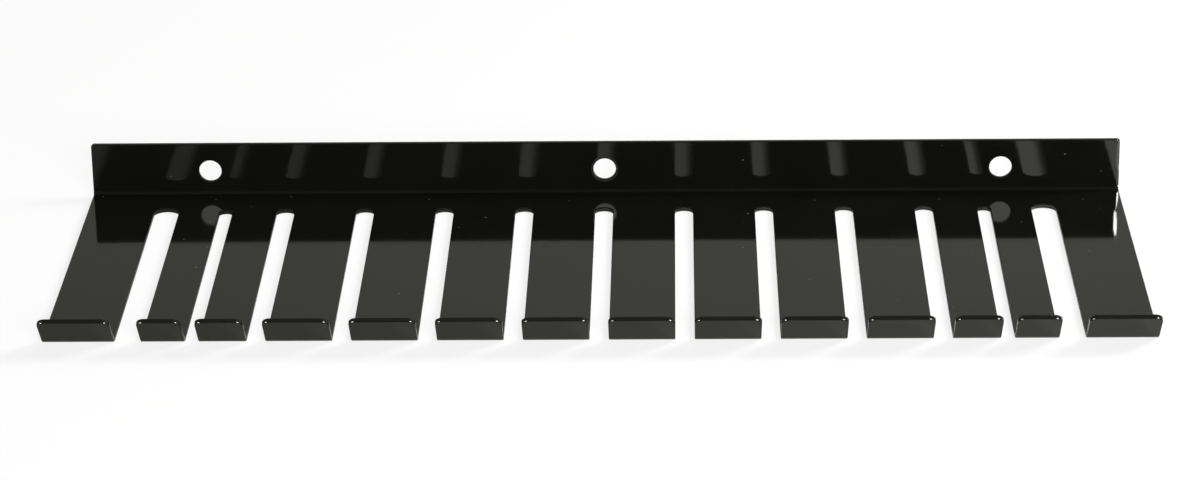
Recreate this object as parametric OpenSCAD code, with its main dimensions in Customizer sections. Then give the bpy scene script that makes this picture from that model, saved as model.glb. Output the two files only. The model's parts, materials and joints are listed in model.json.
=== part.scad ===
// Wall rack for test leads.
// One sheet-metal blank: a flange that screws to the wall, folded into a shelf that is
// slotted into a comb of tines, each tine ending in a lip bent up and outwards.
// X runs along the wall, Y points into the wall, Z is up. The origin is the middle wall
// hole where it meets the wall.

/* [Sheet] */
// Thickness of the coated sheet
sheet_t = 1.5; // [1:0.1:2.5]
// Inside radius of the fold between flange and shelf
fold_r = 1; // [0.5:0.1:2.5]

/* [Wall flange] */
// Height of the flange, measured from the underside of the shelf
flange_h = 18.6; // [14:0.1:40]
// Radius of the flange's two top corners
flange_corner_r = 1; // [0.5:0.1:4]

/* [Wall holes] */
// Diameter of each wall hole
hole_d = 7.2; // [4:0.1:8]
// Distance from one wall hole to the next
hole_pitch = 127; // [80:1:150]
// Height of the hole centres above the underside of the shelf
hole_h = 9.3; // [8:0.1:9.6]

/* [Shelf and slots] */
// Reach of the shelf from the wall to the outer corner of the lip bend
shelf_reach = 118; // [60:0.5:200]
// Distance from the wall to the line of the centres of the slots' round ends
slot_end_reach = 17.8; // [10:0.1:30]
// Distance between the slots of medium width
slot_pitch = 25.4; // [16:0.1:40]
// Distance between the three outer slots at each end
end_slot_pitch = 19.05; // [14:0.05:30]
// Width of the medium slots
medium_slot_w = 5.7; // [3:0.1:8]
// Width of the narrow slot near each end
narrow_slot_w = 4.1; // [3:0.1:8]
// Width of the wide slot at each end
wide_slot_w = 7.9; // [3:0.1:9]
// Width of the last tine at each end
end_tine_w = 21.4; // [10:0.1:40]

/* [Lips] */
// Angle that each lip is bent up from the shelf
lip_angle = 48; // [20:1:80]
// Inside radius of the bend between shelf and lip
lip_bend_r = 4; // [0.5:0.1:6]
// Length of each lip along its outer face, from the corner of the bend
lip_len = 14.4; // [10:0.1:30]
// Radius of each lip's top corners
lip_corner_r = 2.5; // [0.5:0.1:4]

/* [Hidden] */
$fn = 96;
cut_margin = 1;
coat = [0.11, 0.11, 0.10];

// The medium slots stand either side of the middle one, then a narrow and a wide slot follow.
medium_each_side = 4;
narrow_slot_x = medium_each_side * slot_pitch + end_slot_pitch;
wide_slot_x = narrow_slot_x + end_slot_pitch;
rack_len = 2 * (wide_slot_x + wide_slot_w / 2 + end_tine_w);

// Slot centres and widths, from left to right
slot_x = concat([-wide_slot_x, -narrow_slot_x],
    [for (i = [-medium_each_side : medium_each_side]) i * slot_pitch],
    [narrow_slot_x, wide_slot_x]);
slot_w = concat([wide_slot_w, narrow_slot_w],
    [for (i = [-medium_each_side : medium_each_side]) medium_slot_w],
    [narrow_slot_w, wide_slot_w]);
slots = len(slot_x);

// Left and right edges of tine number i, counted from 1 at the left
function tine_left(i) = i == 1 ? -rack_len / 2 : slot_x[i - 2] + slot_w[i - 2] / 2;
function tine_right(i) = i == slots + 1 ? rack_len / 2 : slot_x[i - 1] - slot_w[i - 1] / 2;
function tine_w(i) = tine_right(i) - tine_left(i);
function tine_mid(i) = (tine_left(i) + tine_right(i)) / 2;

// Heights, with the wall holes at zero
underside_z = -hole_h;
fold_outer_r = fold_r + sheet_t;
fold_z = underside_z + fold_outer_r;
flange_plate_h = flange_h - fold_outer_r;

// Places along Y, from the wall at zero outwards
lip_outer_r = lip_bend_r + sheet_t;
lip_bend_set = lip_outer_r * tan(lip_angle / 2);
lip_bend_y = lip_bend_set - shelf_reach;
lip_plate_len = lip_len - lip_bend_set;

// A rectangle standing on the X axis with its two top corners rounded
module rounded_top(w, h, r) {
    translate([-w / 2, 0]) square([w, h - r]);
    translate([r - w / 2, 0]) square([w - 2 * r, h]);
    for (side = [-1, 1]) translate([side * (w / 2 - r), h - r]) circle(r = r);
}

// A bend along X about the origin, from straight down round towards +Y
module bend(w, inner_r, angle) {
    translate([-w / 2, 0, 0]) rotate([0, 90, 0])
        rotate_extrude(angle = angle) translate([inner_r, 0]) square([sheet_t, w]);
}

module back_flange() {
    color(coat) difference() {
        translate([0, 0, fold_z]) rotate([90, 0, 0]) linear_extrude(sheet_t)
            rounded_top(rack_len, flange_plate_h, flange_corner_r);
        for (i = [-1 : 1]) translate([i * hole_pitch, cut_margin, 0]) rotate([90, 0, 0])
            cylinder(d = hole_d, h = sheet_t + 2 * cut_margin);
    }
}

module back_fold() {
    color(coat) translate([0, -fold_outer_r, fold_z]) bend(rack_len, fold_r, 90);
}

module slot_root_strip() {
    color(coat) translate([0, 0, underside_z]) linear_extrude(sheet_t) difference() {
        translate([-rack_len / 2, -slot_end_reach])
            square([rack_len, slot_end_reach - fold_outer_r]);
        for (i = [0 : slots - 1]) translate([slot_x[i], -slot_end_reach]) circle(d = slot_w[i]);
    }
}

module tine(i) {
    color(coat) translate([tine_left(i), lip_bend_y, underside_z])
        cube([tine_w(i), -slot_end_reach - lip_bend_y, sheet_t]);
}

module lip(i) {
    color(coat) translate([tine_mid(i), lip_bend_y, underside_z + lip_outer_r]) {
        mirror([0, 1, 0]) bend(tine_w(i), lip_bend_r, lip_angle);
        rotate([-lip_angle, 0, 0]) translate([0, 0, -lip_outer_r]) mirror([0, 1, 0])
            linear_extrude(sheet_t) rounded_top(tine_w(i), lip_plate_len, lip_corner_r);
    }
}

back_flange();
back_fold();
slot_root_strip();
tine(1);  // tine_01
tine(2);  // tine_02
tine(3);  // tine_03
tine(4);  // tine_04
tine(5);  // tine_05
tine(6);  // tine_06
tine(7);  // tine_07
tine(8);  // tine_08
tine(9);  // tine_09
tine(10);  // tine_10
tine(11);  // tine_11
tine(12);  // tine_12
tine(13);  // tine_13
tine(14);  // tine_14
lip(1);  // lip_01
lip(2);  // lip_02
lip(3);  // lip_03
lip(4);  // lip_04
lip(5);  // lip_05
lip(6);  // lip_06
lip(7);  // lip_07
lip(8);  // lip_08
lip(9);  // lip_09
lip(10);  // lip_10
lip(11);  // lip_11
lip(12);  // lip_12
lip(13);  // lip_13
lip(14);  // lip_14
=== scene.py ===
# Looks of a wall rack for test leads: one folded, slotted steel sheet with a gloss black coat.
# The sheet is modelled as it is made: a flat blank is cut, its edges are rounded, and it is
# folded. It is then parted into the CAD model's regions. Lengths are in metres.
import json
import math

import bmesh
import bpy
from mathutils import Matrix, Vector


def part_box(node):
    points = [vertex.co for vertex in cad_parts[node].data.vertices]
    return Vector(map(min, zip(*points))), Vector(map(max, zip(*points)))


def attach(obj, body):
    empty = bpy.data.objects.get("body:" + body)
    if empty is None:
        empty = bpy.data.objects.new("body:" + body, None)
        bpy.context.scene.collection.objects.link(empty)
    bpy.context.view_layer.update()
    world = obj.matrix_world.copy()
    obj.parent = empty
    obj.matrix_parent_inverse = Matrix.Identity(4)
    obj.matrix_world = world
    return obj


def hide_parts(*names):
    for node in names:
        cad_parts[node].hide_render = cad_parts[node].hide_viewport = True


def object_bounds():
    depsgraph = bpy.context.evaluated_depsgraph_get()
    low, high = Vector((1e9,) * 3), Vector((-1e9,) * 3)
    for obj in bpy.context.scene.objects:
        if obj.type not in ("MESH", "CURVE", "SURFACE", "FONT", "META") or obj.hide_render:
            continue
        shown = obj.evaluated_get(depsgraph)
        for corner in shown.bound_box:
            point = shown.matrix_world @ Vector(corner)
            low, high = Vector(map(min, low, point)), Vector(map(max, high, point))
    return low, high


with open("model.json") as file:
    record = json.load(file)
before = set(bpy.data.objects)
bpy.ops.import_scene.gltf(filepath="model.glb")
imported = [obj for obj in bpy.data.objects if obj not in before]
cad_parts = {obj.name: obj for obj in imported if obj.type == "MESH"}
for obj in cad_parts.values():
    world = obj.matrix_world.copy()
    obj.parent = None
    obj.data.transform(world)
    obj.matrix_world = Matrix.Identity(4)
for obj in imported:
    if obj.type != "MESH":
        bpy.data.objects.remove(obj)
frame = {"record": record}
cad_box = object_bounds()

MM = 0.001

# The sheet and its folds
SHEET_T = 1.5 * MM
FOLD_R = 1.0 * MM
FLANGE_ANGLE = math.radians(90)
LIP_BEND_R = 4.0 * MM
LIP_ANGLE = math.radians(48)
FOLD_STEPS = 16

# The cut edges, corners, slots and holes
RIM_R = 0.3 * MM
RIM_STEPS = 4
FLANGE_CORNER_R = 1.0 * MM
LIP_CORNER_R = 2.5 * MM
CORNER_STEPS = 8
SLOT_END_STEPS = 14
HOLE_SIDES = 64
HOLE_COLLAR = 1.0 * MM
HOLE_PATCH = 5.6 * MM

# The front corner at the flange's right end is ground flat, deeper above a small step
GROUND_W = 0.55 * MM
GROUND_STEP = 0.6 * MM
GROUND_STEP_FOOT = -1.4 * MM
GROUND_STEP_TOP = 0.4 * MM

# How far past the end of a fold the sheet is parted, so that both sides of a joint are flat
SEAM_SET = 0.3 * MM
TOUCH = 0.01 * MM

# Limits on the size of a normal's Z, which is 0 on a cut wall and 1 on a face of the flat sheet
WALL_FLATNESS = 0.65
FACE_FLATNESS = 0.9

# Below the first angle two edges or faces count as one, and above the second an edge is sharp
STRAIGHT_ANGLE = math.radians(1)
SHARP_ANGLE = math.radians(35)

# The coat, with patterns that are laid out on the flat blank
COAT_IOR = 1.5
CLOUD_SCALE = 38
CLOUD_RANGE = (0.3, 0.7)
CLOUD_ROUGHNESS = (0.05, 0.09)
FACE_FILM_THIN = (0.0026, 0.0026, 0.0023, 1)
FACE_FILM_THICK = (0.0046, 0.0046, 0.0041, 1)
WALL_FILM = (0.006, 0.006, 0.0056, 1)
WALL_FILM_EDGE = (0.4 * RIM_R, 1.3 * RIM_R)
WALL_ADDED_ROUGHNESS = 0.06
DUST_COLOUR = (0.1, 0.1, 0.09, 1)
DUST_SPACING = 21 * MM
DUST_R = 0.3 * MM
DUST_SHARE = 0.35
RUST_COLOUR = (0.05, 0.032, 0.018, 1)
RUST_SPACING = 17 * MM
RUST_R = 0.34 * MM
RUST_SHARE = 0.16
RUST_SHIFT = (0.37, 0.21, 0)
SPECK_SMALLEST = 0.3
SPECK_ADDED_ROUGHNESS = 0.45
PEEL_SCALE = 420
PEEL_DEPTH = 0.004 * MM

# The floor. Only the camera sees it white, and reflections see it grey, with painted shade to the
# left and under the lips and a painted glow under the lips.
FLOOR_REACH = 8.0
FLOOR_ROUGHNESS = 0.9
FLOOR_SEEN = (0.15, 0.15, 0.15, 1)
FLOOR_SEEN_GLOW = (0.8, 0.8, 0.8, 1)
# Painted shade on the floor, for everything but the camera: darker to the left and under the lips
FLOOR_SHADED_LEFT = (0.25, 0.25, 0.245, 1)
FLOOR_LIT_RIGHT = (0.7, 0.7, 0.68, 1)
FLOOR_SHADED_UNDER_LIPS = (0.1, 0.1, 0.09, 1)
# A painted glow on the floor under the lips, which only reflections see
PAINTED_LIP_GLOW_LEFT = (0.2, 0.202, 0.173, 1)
PAINTED_LIP_GLOW_RIGHT = (0.32, 0.323, 0.285, 1)
NO_GLOW = (0, 0, 0, 1)
UNDER_LIPS_FROM = 4 * MM
UNDER_LIPS_TO = 1 * MM

# The room, with ranges along a direction's Y and X
ROOM_FRONT = (0.08, 0.08, 0.076, 1)
ROOM_BACK_LEFT = (0.26, 0.262, 0.23, 1)
ROOM_BACK_RIGHT = (0.345, 0.35, 0.305, 1)
ROOM_TO_BACK = (-0.4, 0.6)
ROOM_TO_RIGHT = (-0.25, 0.1)

# The view, as solved from the photograph
SENSOR_W = 36
CAMERA_LENS = 121.255
CAMERA_PLACE = Vector((23.2315, -1212.0679, 470.7152)) * MM
CAMERA_PITCH = math.radians(22.2472)
CAMERA_YAW = math.radians(-1.1837)
CAMERA_ROLL = math.radians(0.7245)

TINES = 14
TINE_NAMES = [f"tine_{number:02d}" for number in range(1, TINES + 1)]
LIP_NAMES = [f"lip_{number:02d}" for number in range(1, TINES + 1)]
REGIONS = ["back_flange", "back_fold", "slot_root_strip"] + TINE_NAMES + LIP_NAMES

# Sizes that the frame gives
rack_low, rack_high = cad_box
underside = rack_low.z
tine_boxes = [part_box(name) for name in TINE_NAMES]
slots = [(left[1].x, right[0].x) for left, right in zip(tine_boxes, tine_boxes[1:])]
slot_middles = [(left + right) / 2 for left, right in slots]
slot_end_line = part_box("slot_root_strip")[0].y
lip_bend_y = tine_boxes[0][0].y
mounts = {mount["name"]: mount for mount in frame["record"]["mounts"]}
hole_r = mounts["middle_wall_hole"]["dims"]["r_mm"] * MM
hole_reach = mounts["outer_wall_holes"]["dims"]["spacing_x_mm"] * MM / 2

# Places along the flat blank, where the shelf keeps its own Y
shelf_back = -FOLD_R - SHEET_T
fold_allowance = FLANGE_ANGLE * (FOLD_R + SHEET_T / 2)
flange_start = shelf_back + fold_allowance
flange_foot_z = underside + FOLD_R + SHEET_T
blank_back = flange_start + rack_high.z - flange_foot_z
hole_line = flange_start - flange_foot_z
ground_step_foot = hole_line + GROUND_STEP_FOOT
ground_step_top = hole_line + GROUND_STEP_TOP
lip_bend_reach = (LIP_BEND_R + SHEET_T) * math.sin(LIP_ANGLE)
lip_plate = (lip_bend_y - lip_bend_reach - rack_low.y) / math.cos(LIP_ANGLE)
lip_allowance = LIP_ANGLE * (LIP_BEND_R + SHEET_T / 2)
blank_front = lip_bend_y - lip_allowance - lip_plate
flange_seam = flange_start + SEAM_SET
shelf_seam = shelf_back - SEAM_SET
lip_seam = lip_bend_y + SEAM_SET


def cut(bm, x=None, y=None, faces=None):
    """Cuts the blank along a line at x or at y, through the given faces or through all."""
    faces = bm.faces[:] if faces is None else faces
    parts = {part for face in faces for part in (face, *face.edges, *face.verts)}
    place = Vector((x or 0, y or 0, 0))
    across = Vector((0, 1, 0)) if x is None else Vector((1, 0, 0))
    bmesh.ops.bisect_plane(bm, geom=list(parts), dist=TOUCH, plane_co=place, plane_no=across)


def flange_faces(bm):
    """The faces of the flat blank that become the flange."""
    return [face for face in bm.faces if face.calc_center_median().y > flange_start]


def round_corners(bm, corners, radius, steps):
    """Rounds corners of the flat blank."""
    bmesh.ops.bevel(
        bm, geom=corners, offset=radius, segments=steps, profile=0.5,
        affect="VERTICES", material=-1,
    )


def slotted_blank():
    """The blank as one flat face, with its slots open at the front and every corner round."""
    bm = bmesh.new()
    half_side = 0.5
    bmesh.ops.create_grid(bm, x_segments=1, y_segments=1, size=half_side)
    size = Vector((rack_high.x - rack_low.x, blank_back - blank_front, 1))
    bmesh.ops.scale(bm, verts=bm.verts, vec=size)
    bmesh.ops.translate(bm, verts=bm.verts, vec=(0, (blank_back + blank_front) / 2, 0))
    for left, right in slots:
        cut(bm, x=left)
        cut(bm, x=right)
        slot_end = slot_end_line + (right - left) / 2
        column = [face for face in bm.faces if left < face.calc_center_median().x < right]
        cut(bm, y=slot_end, faces=column)
        waste = []
        for face in bm.faces:
            middle = face.calc_center_median()
            if left < middle.x < right and middle.y < slot_end:
                waste.append(face)
        bmesh.ops.delete(bm, geom=waste, context="FACES")
    bmesh.ops.dissolve_limit(bm, angle_limit=STRAIGHT_ANGLE, verts=bm.verts, edges=bm.edges)

    lip_corners = [v for v in bm.verts if abs(v.co.y - blank_front) < TOUCH]
    round_corners(bm, lip_corners, LIP_CORNER_R, CORNER_STEPS)
    flange_corners = [v for v in bm.verts if abs(v.co.y - blank_back) < TOUCH]
    round_corners(bm, flange_corners, FLANGE_CORNER_R, CORNER_STEPS)
    for (left, right), middle in zip(slots, slot_middles):
        end_r = (right - left) / 2
        corners = []
        for vert in bm.verts:
            at_slot = abs(vert.co.x - middle) < 2 * end_r
            if at_slot and abs(vert.co.y - slot_end_line - end_r) < TOUCH:
                corners.append(vert)
        round_corners(bm, corners, end_r, SLOT_END_STEPS)
    bmesh.ops.remove_doubles(bm, verts=bm.verts, dist=TOUCH / 10)
    return bm


def punch_wall_holes(bm):
    """Makes the three wall holes, each in a square patch of the flange with a ring round it."""
    cut(bm, y=flange_start)
    cut(bm, y=hole_line - HOLE_PATCH, faces=flange_faces(bm))
    cut(bm, y=hole_line + HOLE_PATCH, faces=flange_faces(bm))
    for hole_x in (-hole_reach, 0, hole_reach):
        cut(bm, x=hole_x - HOLE_PATCH, faces=flange_faces(bm))
        cut(bm, x=hole_x + HOLE_PATCH, faces=flange_faces(bm))
        centre = Vector((hole_x, hole_line, 0))
        patch = min(bm.faces, key=lambda face: (face.calc_center_median() - centre).length)
        border = patch.edges[:]
        bmesh.ops.delete(bm, geom=[patch], context="FACES_ONLY")
        ring = bmesh.ops.create_circle(
            bm, segments=HOLE_SIDES, radius=hole_r + HOLE_COLLAR,
            matrix=Matrix.Translation(centre),
        )["verts"]
        ring_edges = list({edge for vert in ring for edge in vert.link_edges})
        bmesh.ops.triangle_fill(bm, edges=border + ring_edges, use_beauty=True)
        inner = bmesh.ops.extrude_edge_only(bm, edges=ring_edges)["geom"]
        inner_verts = [part for part in inner if isinstance(part, bmesh.types.BMVert)]
        shrink = hole_r / (hole_r + HOLE_COLLAR)
        bmesh.ops.scale(
            bm, verts=inner_verts, vec=(shrink, shrink, 1),
            space=Matrix.Translation(-centre),
        )


def thicken(bm):
    """Gives the blank its thickness, upwards from the underside at zero."""
    upper = bmesh.ops.extrude_face_region(bm, geom=bm.faces[:])["geom"]
    verts = [part for part in upper if isinstance(part, bmesh.types.BMVert)]
    bmesh.ops.translate(bm, verts=verts, vec=(0, 0, SHEET_T))
    bmesh.ops.recalc_face_normals(bm, faces=bm.faces)


def grind_right_corner(bm):
    """Grinds the front corner at the flange's right end flat, deeper above a small step."""
    past_hole = hole_reach + HOLE_PATCH
    for line in (ground_step_foot, ground_step_top, blank_back - FLANGE_CORNER_R):
        right = [f for f in flange_faces(bm) if f.calc_center_median().x > past_hole]
        cut(bm, y=line, faces=right)
    corner = []
    for edge in bm.edges:
        at_front = all(v.co.z > SHEET_T - TOUCH for v in edge.verts)
        at_end = all(v.co.x > rack_high.x - TOUCH for v in edge.verts)
        if at_front and at_end and min(v.co.y for v in edge.verts) > flange_start - TOUCH:
            corner.append(edge)
    bmesh.ops.bevel(
        bm, geom=corner, offset=GROUND_W, segments=1, profile=0.5, affect="EDGES", material=-1,
    )
    for vert in bm.verts:
        at_front = vert.co.z > SHEET_T - GROUND_W - TOUCH
        at_end = vert.co.x > rack_high.x - FLANGE_CORNER_R - TOUCH
        if at_front and at_end and vert.co.y > ground_step_top - TOUCH:
            vert.co.x -= GROUND_STEP


def round_rims(bm):
    """Rounds each edge between a face of the sheet and a cut wall, but not the ground corner."""
    rims = []
    for edge in bm.edges:
        flatness = sorted(abs(face.normal.z) for face in edge.link_faces)
        if len(flatness) == 2 and flatness[0] < WALL_FLATNESS and flatness[1] > FACE_FLATNESS:
            rims.append(edge)
    bmesh.ops.bevel(
        bm, geom=rims, offset=RIM_R, offset_type="OFFSET", segments=RIM_STEPS, profile=0.5,
        affect="EDGES", clamp_overlap=False, material=-1,
    )
    # At the ground corner the rounding can reach past the flange's top edge
    for vert in bm.verts:
        vert.co.y = min(vert.co.y, blank_back)


def region_of(place):
    """Which region of the flat blank a place is in."""
    number = sum(place.x > middle for middle in slot_middles)
    if place.y > flange_seam:
        return "back_flange"
    if place.y > shelf_seam:
        return "back_fold"
    if place.y > slot_end_line:
        return "slot_root_strip"
    return TINE_NAMES[number] if place.y > lip_seam else LIP_NAMES[number]


def mark_out(bm):
    """Cuts the fold lines and joints, and notes each face's region and each point's place."""
    for step in range(FOLD_STEPS + 1):
        share = step / FOLD_STEPS
        cut(bm, y=shelf_back + share * fold_allowance)
        cut(bm, y=lip_bend_y - share * lip_allowance)
    for seam in (flange_seam, shelf_seam, slot_end_line, lip_seam):
        cut(bm, y=seam)
    region = bm.faces.layers.int.new("region")
    for face in bm.faces:
        face[region] = REGIONS.index(region_of(face.calc_center_median()))
    blank_place = bm.verts.layers.float_vector.new("blank_place")
    for vert in bm.verts:
        vert[blank_place] = vert.co


def fold_up(bm, start_y, inner_r, angle, side):
    """Folds what lies beyond start_y upwards. The side is 1 for the flange and -1 for the lips."""
    step = angle * (inner_r + SHEET_T / 2) / FOLD_STEPS
    beyond = []
    for count in range(1, FOLD_STEPS + 1):
        line = (count - 0.5) * step
        beyond.append([v for v in bm.verts if side * (v.co.y - start_y) > line])
    for verts in beyond:
        bmesh.ops.translate(bm, verts=verts, vec=(0, -side * step, 0))
    axis = (0, start_y, SHEET_T + inner_r)
    turn = Matrix.Rotation(side * angle / FOLD_STEPS, 3, "X")
    for verts in beyond:
        bmesh.ops.rotate(bm, verts=verts, cent=axis, matrix=turn)


def folded_sheet():
    """The whole rack as one sheet, in its place."""
    bm = slotted_blank()
    punch_wall_holes(bm)
    thicken(bm)
    grind_right_corner(bm)
    round_rims(bm)
    mark_out(bm)
    fold_up(bm, shelf_back, FOLD_R, FLANGE_ANGLE, 1)
    fold_up(bm, lip_bend_y, LIP_BEND_R, LIP_ANGLE, -1)
    bmesh.ops.translate(bm, verts=bm.verts, vec=(0, 0, underside))
    return bm


def part_out(sheet, name, coat):
    """One region of the sheet as a closed piece that stands for its CAD node."""
    bm = sheet.copy()
    region = bm.faces.layers.int["region"]
    others = [face for face in bm.faces if face[region] != REGIONS.index(name)]
    bmesh.ops.delete(bm, geom=others, context="FACES")
    open_edges = [edge for edge in bm.edges if edge.is_boundary]
    bmesh.ops.holes_fill(bm, edges=open_edges)
    bmesh.ops.recalc_face_normals(bm, faces=bm.faces)
    for face in bm.faces:
        face.smooth = True
    mesh = bpy.data.meshes.new(f"coated_{name}")
    bm.to_mesh(mesh)
    bm.free()
    mesh.set_sharp_from_angle(angle=SHARP_ANGLE)
    mesh.materials.append(coat)
    piece = bpy.data.objects.new(f"coated_{name}", mesh)
    bpy.context.scene.collection.objects.link(piece)
    flats = piece.modifiers.new("flat_faces_lead", "WEIGHTED_NORMAL")
    flats.weight = 100
    flats.keep_sharp = True
    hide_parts(name)
    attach(piece, "root")
    return piece


def add_node(tree, kind, inputs=None, **settings):
    """A shader node with its settings, and its inputs set to values or linked to sockets."""
    node = tree.nodes.new(kind)
    for name, value in settings.items():
        setattr(node, name, value)
    for name, value in (inputs or {}).items():
        if isinstance(value, bpy.types.NodeSocket):
            tree.links.new(value, node.inputs[name])
        else:
            node.inputs[name].default_value = value
    return node


def band(tree, value, low, high):
    """Rises smoothly from 0 to 1 as value goes from low to high."""
    node = add_node(
        tree, "ShaderNodeMapRange", interpolation_type="SMOOTHSTEP",
        inputs={"Value": value, "From Min": low, "From Max": high},
    )
    return node.outputs["Result"]


def math_of(tree, operation, a, b, c=0.0):
    """The result of an operation on values or sockets."""
    node = add_node(tree, "ShaderNodeMath", operation=operation, inputs={0: a, 1: b, 2: c})
    return node.outputs["Value"]


def blend(tree, factor, low, high):
    """Goes from the colour low to the colour high as factor goes from 0 to 1."""
    inputs = {"Factor": factor, "A": low, "B": high}
    return add_node(tree, "ShaderNodeMix", data_type="RGBA", inputs=inputs).outputs["Result"]


def specks(tree, place, spacing, radius, share):
    """Scattered specks up to a radius, one in each cell of the given share of cells."""
    cells = add_node(
        tree, "ShaderNodeTexVoronoi", voronoi_dimensions="2D",
        inputs={"Vector": place, "Scale": 1 / spacing, "Randomness": 1.0},
    )
    chance = add_node(tree, "ShaderNodeSeparateColor", inputs={"Color": cells.outputs["Color"]})
    kept = math_of(tree, "LESS_THAN", chance.outputs["Red"], share)
    spread = 1 - SPECK_SMALLEST
    size = math_of(tree, "MULTIPLY_ADD", chance.outputs["Green"], spread, SPECK_SMALLEST)
    edge = math_of(tree, "MULTIPLY", size, radius / spacing)
    inside = math_of(tree, "LESS_THAN", cells.outputs["Distance"], edge)
    return math_of(tree, "MULTIPLY", inside, kept)


def gloss_black_coat():
    """Gloss black paint: orange peel, haze, dust, and a thin dull film over the cut walls."""
    material = bpy.data.materials.new("gloss_black_coat")
    material.use_nodes = True
    tree = material.node_tree
    shader = tree.nodes["Principled BSDF"]
    place = add_node(tree, "ShaderNodeAttribute", attribute_name="blank_place").outputs["Vector"]
    split = add_node(tree, "ShaderNodeSeparateXYZ", inputs={"Vector": place})

    depth = split.outputs["Z"]
    above = band(tree, depth, *WALL_FILM_EDGE)
    below = band(tree, math_of(tree, "SUBTRACT", SHEET_T, depth), *WALL_FILM_EDGE)
    cut_wall = math_of(tree, "MULTIPLY", above, below)

    cloud = add_node(
        tree, "ShaderNodeTexNoise",
        inputs={"Vector": place, "Scale": CLOUD_SCALE, "Detail": 3, "Roughness": 0.6},
    ).outputs["Fac"]
    film = blend(tree, cloud, FACE_FILM_THIN, FACE_FILM_THICK)
    film = blend(tree, cut_wall, film, WALL_FILM)
    dust = specks(tree, place, DUST_SPACING, DUST_R, DUST_SHARE)
    film = blend(tree, dust, film, DUST_COLOUR)
    moved = add_node(
        tree, "ShaderNodeVectorMath", operation="ADD", inputs={0: place, 1: RUST_SHIFT}
    ).outputs["Vector"]
    rust = specks(tree, moved, RUST_SPACING, RUST_R, RUST_SHARE)
    film = blend(tree, rust, film, RUST_COLOUR)
    tree.links.new(film, shader.inputs["Base Color"])

    (cloud_low, cloud_high), (smooth, dull) = CLOUD_RANGE, CLOUD_ROUGHNESS
    face_roughness = add_node(
        tree, "ShaderNodeMapRange",
        inputs={
            "Value": cloud, "From Min": cloud_low, "From Max": cloud_high,
            "To Min": smooth, "To Max": dull,
        },
    ).outputs["Result"]
    roughness = math_of(tree, "MULTIPLY_ADD", cut_wall, WALL_ADDED_ROUGHNESS, face_roughness)
    speck = math_of(tree, "MAXIMUM", dust, rust)
    roughness = math_of(tree, "MULTIPLY_ADD", speck, SPECK_ADDED_ROUGHNESS, roughness)
    tree.links.new(roughness, shader.inputs["Roughness"])

    peel = add_node(
        tree, "ShaderNodeTexNoise",
        inputs={"Vector": place, "Scale": PEEL_SCALE, "Detail": 1.5, "Roughness": 0.5},
    ).outputs["Fac"]
    bump = add_node(
        tree, "ShaderNodeBump",
        inputs={"Height": peel, "Distance": PEEL_DEPTH, "Strength": 1.0},
    ).outputs["Normal"]
    tree.links.new(bump, shader.inputs["Normal"])
    shader.inputs["IOR"].default_value = COAT_IOR
    return material


def pale_floor():
    """The floor that the rack lies on. To the camera it is a white ground.

    To reflections it is grey, with painted shade that makes it duller to the left and dark under
    the lips, and a painted glow under the lips that their faces reflect.
    """
    material = bpy.data.materials.new("pale_floor")
    material.use_nodes = True
    tree = material.node_tree
    shader = tree.nodes["Principled BSDF"]
    place = add_node(tree, "ShaderNodeTexCoord").outputs["Object"]
    split = add_node(tree, "ShaderNodeSeparateXYZ", inputs={"Vector": place})
    rightwards = band(tree, split.outputs["X"], rack_low.x, rack_high.x)
    lipwards = band(
        tree, split.outputs["Y"], lip_bend_y + UNDER_LIPS_FROM, lip_bend_y + UNDER_LIPS_TO
    )
    path = add_node(tree, "ShaderNodeLightPath")
    seen = path.outputs["Is Camera Ray"]
    # Painted shade: to all but the camera the floor is darker to the left and under the lips
    ground = blend(tree, rightwards, FLOOR_SHADED_LEFT, FLOOR_LIT_RIGHT)
    ground = blend(tree, lipwards, ground, FLOOR_SHADED_UNDER_LIPS)
    ground = blend(tree, seen, ground, FLOOR_SEEN)
    tree.links.new(ground, shader.inputs["Base Color"])
    # Painted glow under the lips, seen only in reflections, so that the lips' faces mirror an even
    # grey
    under_lips = blend(tree, rightwards, PAINTED_LIP_GLOW_LEFT, PAINTED_LIP_GLOW_RIGHT)
    mirrored = math_of(tree, "MULTIPLY", path.outputs["Is Glossy Ray"], lipwards)
    glow = blend(tree, mirrored, NO_GLOW, under_lips)
    glow = blend(tree, seen, glow, FLOOR_SEEN_GLOW)
    tree.links.new(glow, shader.inputs["Emission Color"])
    shader.inputs["Emission Strength"].default_value = 1.0
    shader.inputs["Roughness"].default_value = FLOOR_ROUGHNESS
    shader.inputs["Specular IOR Level"].default_value = 0.0
    bm = bmesh.new()
    bmesh.ops.create_grid(bm, x_segments=1, y_segments=1, size=FLOOR_REACH)
    bmesh.ops.translate(bm, verts=bm.verts, vec=(0, 0, underside - TOUCH))
    mesh = bpy.data.meshes.new("floor")
    bm.to_mesh(mesh)
    bm.free()
    mesh.materials.append(material)
    floor = bpy.data.objects.new("floor", mesh)
    bpy.context.scene.collection.objects.link(floor)


def softbox(
    name, place, size, power, target=(0, 0, 0), glossy=True, diffuse=True, only=()
):
    """A soft lamp of a power in watts that faces target, and lights everything or some pieces.

    Without glossy it shows in no reflection, and without diffuse it makes glints alone.
    """
    lamp = bpy.data.lights.new(name, "AREA")
    lamp.shape = "RECTANGLE"
    lamp.size, lamp.size_y = size
    lamp.energy = power
    holder = bpy.data.objects.new(name, lamp)
    towards = Vector(target) - Vector(place)
    turn = towards.to_track_quat("-Z", "Y").to_matrix().to_4x4()
    holder.matrix_world = Matrix.Translation(place) @ turn
    holder.visible_glossy = glossy
    holder.visible_diffuse = diffuse
    if only:
        lit = bpy.data.collections.new(f"{name}_lights")
        for piece in only:
            lit.objects.link(piece)
        holder.light_linking.receiver_collection = lit
    bpy.context.scene.collection.objects.link(holder)


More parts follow.
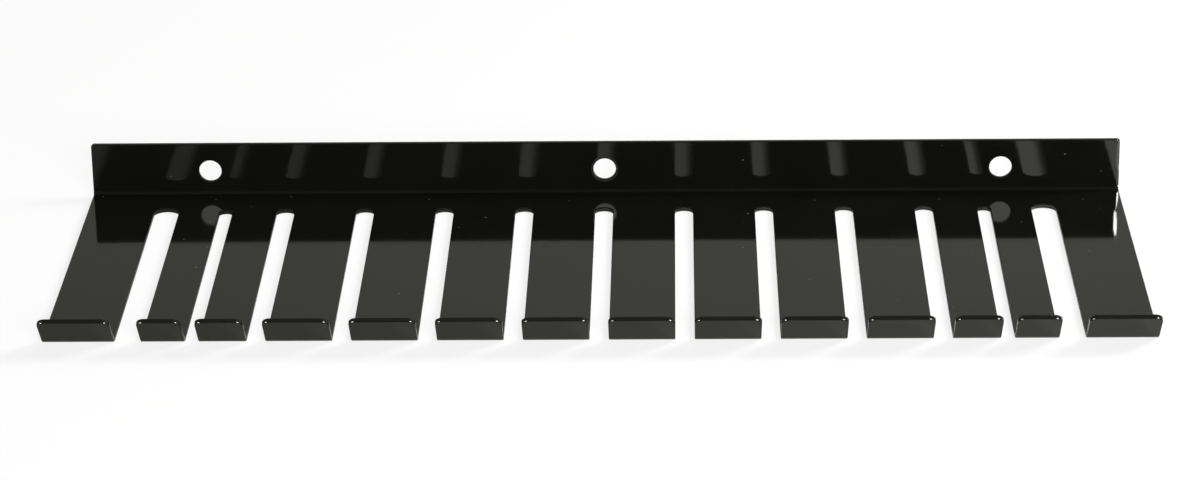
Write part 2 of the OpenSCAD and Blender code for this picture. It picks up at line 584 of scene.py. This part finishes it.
def studio_world():
    """A grey room, lighter behind the rack than in front of it, and duller to the left."""
    world = bpy.data.worlds.new("studio")
    world.use_nodes = True
    tree = world.node_tree
    way = add_node(tree, "ShaderNodeTexCoord").outputs["Generated"]
    split = add_node(tree, "ShaderNodeSeparateXYZ", inputs={"Vector": way})
    behind = band(tree, split.outputs["Y"], *ROOM_TO_BACK)
    rightwards = band(tree, split.outputs["X"], *ROOM_TO_RIGHT)
    back_wall = blend(tree, rightwards, ROOM_BACK_LEFT, ROOM_BACK_RIGHT)
    shade = blend(tree, behind, ROOM_FRONT, back_wall)
    tree.links.new(shade, tree.nodes["Background"].inputs["Color"])
    bpy.context.scene.world = world


def camera():
    """The photograph's view."""
    lens = bpy.data.cameras.new("camera")
    lens.sensor_width = SENSOR_W
    lens.lens = CAMERA_LENS
    holder = bpy.data.objects.new("camera", lens)
    turn = Matrix.Rotation(-CAMERA_YAW, 4, "Z")
    turn = turn @ Matrix.Rotation(math.pi / 2 - CAMERA_PITCH, 4, "X")
    turn = turn @ Matrix.Rotation(-CAMERA_ROLL, 4, "Z")
    holder.matrix_world = Matrix.Translation(CAMERA_PLACE) @ turn
    bpy.context.scene.collection.objects.link(holder)
    bpy.context.scene.camera = holder


sheet = folded_sheet()
coat = gloss_black_coat()
pieces = {name: part_out(sheet, name, coat) for name in REGIONS}
sheet.free()

pale_floor()
studio_world()
softbox("right_key", (1.22, 0.2, 0.8), (0.5, 0.7), 32, glossy=False)
softbox("overhead_fill", (0.2, 0.4, 2.2), (2.4, 2.4), 6, glossy=False)
softbox("low_front_fill", (0.35, -1.5, 0.5), (0.7, 0.3), 32, target=(0, -0.1, 0), glossy=False)
lips = [pieces[name] for name in LIP_NAMES]
softbox("right_glint", (1.37, -0.95, 0.91), (0.8, 0.8), 110, diffuse=False, only=lips)
softbox("left_glint", (-1.58, -0.91, 0.55), (0.8, 0.8), 100, diffuse=False, only=lips)
flange_and_fold = [pieces["back_flange"], pieces["back_fold"]]
softbox("right_end_glint", (1.4, 0.15, 0.57), (0.4, 0.4), 50, diffuse=False, only=flange_and_fold)
camera()
bpy.context.scene.view_settings.view_transform = "Standard"
